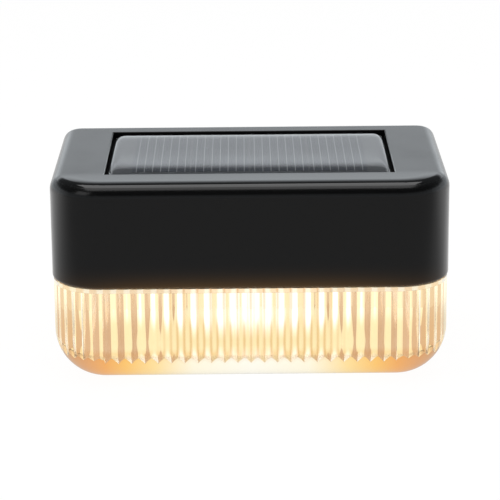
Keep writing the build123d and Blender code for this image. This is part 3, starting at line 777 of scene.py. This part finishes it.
def addLens(bowl):
    points, faces, kinds, marks = lensMesh(bowl["shape"])
    lens = newPiece("lensBowl", points, faces)
    for name, values in marks.items():
        mark = lens.data.attributes.new(name, "FLOAT", "POINT")
        mark.data.foreach_set("value", values + [0.0] * (len(points) - len(values)))
    glass = outerGlass(bowl["glass"]), innerGlass(bowl["glass"])
    for material in (*glass, lensFloor(bowl["floor"]), lensBand(bowl["band"])):
        lens.data.materials.append(material)
    lens.data.polygons.foreach_set("material_index", kinds)
    mergeDoubles(turnOut=True)
    smoothBy(bowl["shape"]["smoothAngle"])
    return lens


lens = addLens(lensBowl)
finishPiece(lens, "light", "lens_clear", "lens")
print("lens ready:", len(lens.data.polygons), "faces")

# lit tray behind the lens

trayLook = {
    "own": (0.14, 0.13, 0.11),
    "roughness": 0.5,
    "gloss": 0.1,
    "high": srgb(255, 254, 246),
    "low": srgb(254, 236, 190),
    "fade": (-7.5, -15.5),
    "middle": srgb(255, 254, 248),
    "middleFrom": (16.0, 26.0),
    "middleStrength": 1.18,
    "dimHigh": srgb(240, 210, 168),
    "dimLow": srgb(213, 181, 143),
    "dimFrom": (40.0, 46.0),
    "lampsBelow": (0.0, -0.6),
    # painted stripes and shade on the flange's edge
    "edgeLow": -1.8,
    "paintedEdgeShade": (0.98, 0.90, 0.77),
    "stripePitch": 4.0,
    "stripeEdges": (1.4, 2.2),
    "stripeShare": 0.6,
}


def trayMaterial(look):
    # painted light: bright next to the lamps, fading down the skirt and out to its sides
    material, tree, shader = newMaterial("litWhiteTray")
    x, _, z = place(tree)[1:]
    shader.inputs["Base Color"].default_value = (*look["own"], 1)
    shader.inputs["Roughness"].default_value = look["roughness"]
    shader.inputs["Specular IOR Level"].default_value = look["gloss"]
    side = absolute(tree, x)
    down = fade(tree, z, look["fade"])
    away = fade(tree, side, look["middleFrom"])
    lit = mixColour(tree, away, look["middle"], mixColour(tree, down, look["high"], look["low"]))
    dim = mixColour(tree, down, look["dimHigh"], look["dimLow"])
    normal = addNode(tree, "ShaderNodeTexCoord").outputs["Normal"]
    facing = addNode(tree, "ShaderNodeSeparateXYZ", {0: normal}).outputs[2]
    upright = mathNode(tree, "LESS_THAN", absolute(tree, facing), 0.5)
    edge = times(tree, mathNode(tree, "GREATER_THAN", z, look["edgeLow"] * mm), upright)
    out = times(tree, fade(tree, side, look["dimFrom"]), mathNode(tree, "SUBTRACT", 1.0, edge))
    colour = mixColour(tree, out, lit, dim)
    # the flange's edge lies right behind the ribs and takes their stripes, as painted light and shade
    stripe = fade(tree, wrap(tree, side, look["stripePitch"] * mm), look["stripeEdges"])
    colour = mixColour(tree, times(tree, stripe, look["stripeShare"], edge), colour, dim)
    # painted shade darkens the flange's edge
    colour = tinted(tree, edge, colour, look["paintedEdgeShade"])
    tree.links.new(colour, shader.inputs["Emission Color"])
    under = fade(tree, z, look["lampsBelow"], 0, 1, smooth=False)
    strength = times(tree, under, mixValue(tree, away, look["middleStrength"], 1.0))
    tree.links.new(strength, shader.inputs["Emission Strength"])
    return material


assign("light_tray", trayMaterial(trayLook))
print("tray ready")

# solar panel: cells with collector lines under a clear pillow

cellLook = {
    "pitch": 17.9,
    "fingerPitch": 2.45,
    "fingerEdges": (0.08, 0.13),
    "cell": (0.021, 0.024, 0.031),
    "finger": (0.20, 0.205, 0.22),
    "roughness": 0.35,
    "cloudScale": 140.0,
    "cloudLift": 1.6,
}
panelCover = {
    "middle": -37.1,
    "half": (42.45, 26.1),
    "corner": 3.6,
    "cornerLoss": 0.5,
    "cornerLeast": 0.3,
    "low": 30.10,
    "wallTop": 30.35,
    "top": 31.74,
    "roll": (3.2, 12.0),
    "rollPower": 2.5,
    "cornerFall": 0.5,
    "cornerDrop": -0.13,
    "crown": 0.26,
    "innerStop": 0.5,
    "rollRings": 14,
    "domeRings": 30,
    "cornerSteps": 10,
    "sideSteps": 16,
    "smoothAngle": 50,
    "resin": {
        "ior": 1.5,
        "tint": (0.96, 0.98, 0.98),
        "roughness": (0.06, 0.11),
        "cloudScale": 90.0,
    },
}


def cellMaterial(look):
    material, tree, shader = newMaterial("cellWithFingers")
    spot, x = place(tree)[:2]
    pitch, finger = look["pitch"] * mm, look["fingerPitch"] * mm
    local = mathNode(tree, "SUBTRACT", wrap(tree, x, pitch), pitch / 2)
    within = absolute(tree, wrap(tree, local, finger / 2, -finger / 2))
    line = fade(tree, within, look["fingerEdges"], 1, 0)
    cloud = noise(tree, spot, look["cloudScale"], 3.0)
    dark = mixColour(tree, cloud, look["cell"], [v * look["cloudLift"] for v in look["cell"]])
    tree.links.new(mixColour(tree, line, dark, look["finger"]), shader.inputs["Base Color"])
    shader.inputs["Roughness"].default_value = look["roughness"]
    return material


def resinMaterial(look):
    material, tree, shader = clearMaterial("clearResin", look)
    shader.inputs["Base Color"].default_value = (*look["tint"], 1)
    cloud = noise(tree, place(tree)[0], look["cloudScale"], 2.0)
    tree.links.new(cloudy(tree, cloud, *look["roughness"]), shader.inputs["Roughness"])
    lampsThrough(tree, shader)
    return material


def addCover(s):
    # rings from the edge inwards: a short wall, then a pillow that rolls over most at front and rear
    halfX, halfY = s["half"]
    rise = s["top"] - s["wallTop"] - s["crown"]

    def height(x, y):
        offX = max(1 - (halfX - abs(x)) / s["roll"][0], 0.0)
        offY = max(1 - (halfY - abs(y)) / s["roll"][1], 0.0)
        rest = 1 - offX ** s["rollPower"] - offY ** s["rollPower"]
        roll = math.sqrt(rest) if rest > 0 else max(s["cornerFall"] * rest, s["cornerDrop"])
        return s["wallTop"] + rise * roll + s["crown"] * (1 - (y / halfY) ** 2)

    def ring(inwards, level=None):
        r = max(s["corner"] - s["cornerLoss"] * inwards, s["cornerLeast"])
        x, y = halfX - inwards - r, halfY - inwards - r
        spots = []
        for k, (sx, sy) in enumerate(((1, 1), (-1, 1), (-1, -1), (1, -1))):
            for step in range(s["cornerSteps"] + 1):
                turn = math.radians(90 * k + 90 * step / s["cornerSteps"])
                spots.append((sx * x + r * math.cos(turn), sy * y + r * math.sin(turn)))
        full = []
        for index, (a, b) in enumerate(zip(spots, spots[1:] + spots[:1])):
            straight = index % (s["cornerSteps"] + 1) == s["cornerSteps"]
            count = s["sideSteps"] if straight else 1
            for k in range(count):
                full.append([p + (q - p) * k / count for p, q in zip(a, b)])
        return [Vector((px, py + s["middle"], level or height(px, py))) * mm for px, py in full]

    rings = [ring(0, s["low"])]
    edge = s["roll"][0]
    for k in range(s["rollRings"]):
        rings.append(ring(edge * (1 - math.cos(0.5 * math.pi * k / s["rollRings"]))))
    for k in range(s["domeRings"] + 1):
        rings.append(ring(edge + (halfY - s["innerStop"] - edge) * k / s["domeRings"]))
    count = len(rings[0])
    faces = [tuple(reversed(range(count)))]
    for k in range(len(rings) - 1):
        for j in range(count):
            n = (j + 1) % count
            faces.append((k * count + j, k * count + n, (k + 1) * count + n, (k + 1) * count + j))
    last = (len(rings) - 1) * count
    faces.append(tuple(range(last, last + count)))
    cover = newPiece("panelCover", [p for r in rings for p in r], faces)
    cover.data.materials.append(resinMaterial(s["resin"]))
    smoothBy(s["smoothAngle"])
    return cover


cover = addCover(panelCover)
finishPiece(cover, "light", "cover_resin", "solar_cover")
assign("solar_cells", cellMaterial(cellLook))
print("panel ready")

# plain finishes of the other pieces; grain is the scale of its noise

finishes = {
    "blackMoulding": {"colour": (0.012, 0.012, 0.013), "roughness": 0.42, "grain": 900, "relief": 0.10},
    "darkBoard": {"colour": (0.050, 0.053, 0.059), "roughness": 0.35, "grain": 300, "relief": 0.03},
    "greyButton": {"colour": (0.10, 0.10, 0.105), "roughness": 0.5, "grain": 1400, "relief": 0.12},
    "rubber": {"colour": (0.02, 0.02, 0.02), "roughness": 0.8, "grain": 800, "relief": 0.15},
    "greenBoard": {"colour": (0.01, 0.09, 0.035), "roughness": 0.4, "grain": 350, "relief": 0.05},
    "whiteBoard": {"colour": (0.75, 0.75, 0.72), "roughness": 0.4, "grain": 350, "relief": 0.03},
    "whitePlastic": {"colour": (0.72, 0.71, 0.67), "roughness": 0.45, "grain": 900, "relief": 0.08},
    "chipBlack": {"colour": (0.02, 0.02, 0.022), "roughness": 0.55, "grain": 1500, "relief": 0.10},
    "ferrite": {"colour": (0.05, 0.05, 0.05), "roughness": 0.7, "grain": 1800, "relief": 0.2},
    "copperWire": {"colour": (0.75, 0.32, 0.14), "roughness": 0.3, "grain": 500, "relief": 0.1, "metal": 1.0},
    "canSleeve": {"colour": (0.03, 0.06, 0.16), "roughness": 0.35, "grain": 300, "relief": 0.03},
    "ledYellow": {"colour": (0.9, 0.75, 0.2), "roughness": 0.4, "grain": 800, "relief": 0.05, "glow": 1.5},
    "cellSleeve": {"colour": (0.03, 0.20, 0.08), "roughness": 0.3, "grain": 200, "relief": 0.02},
    "steel": {"colour": (0.55, 0.55, 0.56), "roughness": 0.32, "grain": 900, "relief": 0.08, "metal": 1.0},
    "nickel": {"colour": (0.66, 0.63, 0.58), "roughness": 0.25, "grain": 600, "relief": 0.05, "metal": 1.0},
    "foam": {"colour": (0.05, 0.05, 0.05), "roughness": 0.9, "grain": 1600, "relief": 0.4},
    "leadRed": {"colour": (0.45, 0.02, 0.015), "roughness": 0.45, "grain": 900, "relief": 0.05},
}
nodesOf = {
    "darkBoard": ["solar_board"],
    "foam": ["solar_adhesive"],
    "rubber": ["button_seal", "back_gasket"],
    "chipBlack": ["switch_body", "control_chip", "diode"],
    "whitePlastic": ["switch_plunger"],
    "greenBoard": ["control_board"],
    "ferrite": ["inductor"],
    "copperWire": ["inductor_coil"],
    "canSleeve": ["capacitor"],
    "steel": ["back_screws", "board_screws", "tray_screws", "led_screws"],
    "whiteBoard": ["led_board"],
    "ledYellow": ["leds"],
    "cellSleeve": ["battery_cell"],
    "blackMoulding": ["battery_holder"],
    "nickel": ["battery_contact", "battery_spring"],
    "leadRed": ["panel_leads", "battery_leads", "led_leads"],
}
# how far the clouds move each finish, how large they are and how high its grain stands
finishRules = {"colourSpread": 0.15, "roughnessSpread": 0.1, "cloudShare": 1 / 6, "grainHeight": 0.03}


def plainMaterial(name, look):
    material, tree, shader = newMaterial(name)
    spot = place(tree)[0]
    cloud = noise(tree, spot, look["grain"] * finishRules["cloudShare"], 3.0)
    less, more = 1 - finishRules["colourSpread"], 1 + finishRules["colourSpread"]
    darker = [v * less for v in look["colour"]]
    lighter = [min(v * more, 1) for v in look["colour"]]
    colour = mixColour(tree, cloud, darker, lighter)
    tree.links.new(colour, shader.inputs["Base Color"])
    shader.inputs["Metallic"].default_value = look.get("metal", 0.0)
    less, more = 1 - finishRules["roughnessSpread"], 1 + finishRules["roughnessSpread"]
    rough = cloudy(tree, cloud, look["roughness"] * less, look["roughness"] * more)
    tree.links.new(rough, shader.inputs["Roughness"])
    grain = noise(tree, spot, look["grain"], 2.0)
    grained = bump(tree, grain, look["relief"], finishRules["grainHeight"] * mm)
    tree.links.new(grained, shader.inputs["Normal"])
    if "glow" in look:
        tree.links.new(colour, shader.inputs["Emission Color"])
        shader.inputs["Emission Strength"].default_value = look["glow"]
    return material


made = {name: plainMaterial(name, look) for name, look in finishes.items()}
for finish, nodeNames in nodesOf.items():
    for nodeName in nodeNames:
        assign(nodeName, made[finish])
backPanel = smoothCopy("back_plate", "backPanel", made["blackMoulding"])
finishPiece(backPanel, "light", "housing_black", "back_plate")
button = smoothCopy("button_cap", "pushButton", made["greyButton"])
finishPiece(button, "button", "button_grey", "button_cap")
print("finishes ready")
